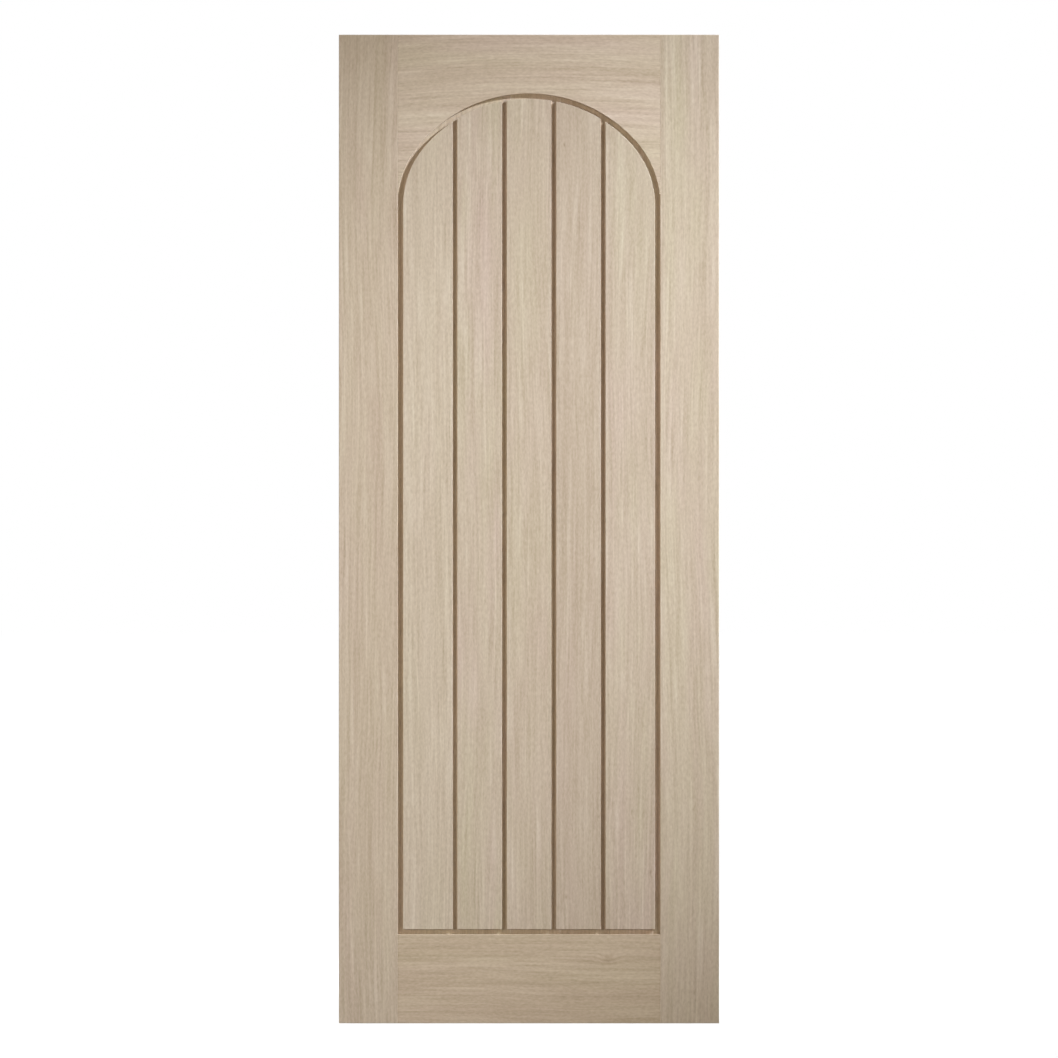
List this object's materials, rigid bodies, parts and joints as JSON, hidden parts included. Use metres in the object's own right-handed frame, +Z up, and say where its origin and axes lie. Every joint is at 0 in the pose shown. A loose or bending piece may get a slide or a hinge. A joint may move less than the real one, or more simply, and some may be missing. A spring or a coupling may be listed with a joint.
{
  "type": "arched boarded door leaf",
  "caption": "Pale oak door leaf: vertical tongued boards set flush in a stile-and-rail frame, with channels between them and an arched head, made to be hung on hinges at one edge.",
  "frame": {"origin": "middle of the leaf's bottom edge", "axes": "+X across the leaf to the right as seen from the front, +Y through its thickness from front to back, +Z up"},
  "size_m": [0.762, 0.035, 1.981],
  "materials": {
    "frame_oak": "matt",
    "board_oak": "matt",
    "dowel_beech": "raw"
  },
  "bodies": {
    "root": {"left_stile": "frame_oak", "right_stile": "frame_oak", "top_rail": "frame_oak", "bottom_rail": "frame_oak", "board_1": "board_oak", "board_2": "board_oak", "board_3": "board_oak", "board_4": "board_oak", "board_5": "board_oak", "top_left_dowels": "dowel_beech", "top_right_dowels": "dowel_beech", "bottom_left_dowels": "dowel_beech", "bottom_right_dowels": "dowel_beech"}
  },
  "joints": []
}
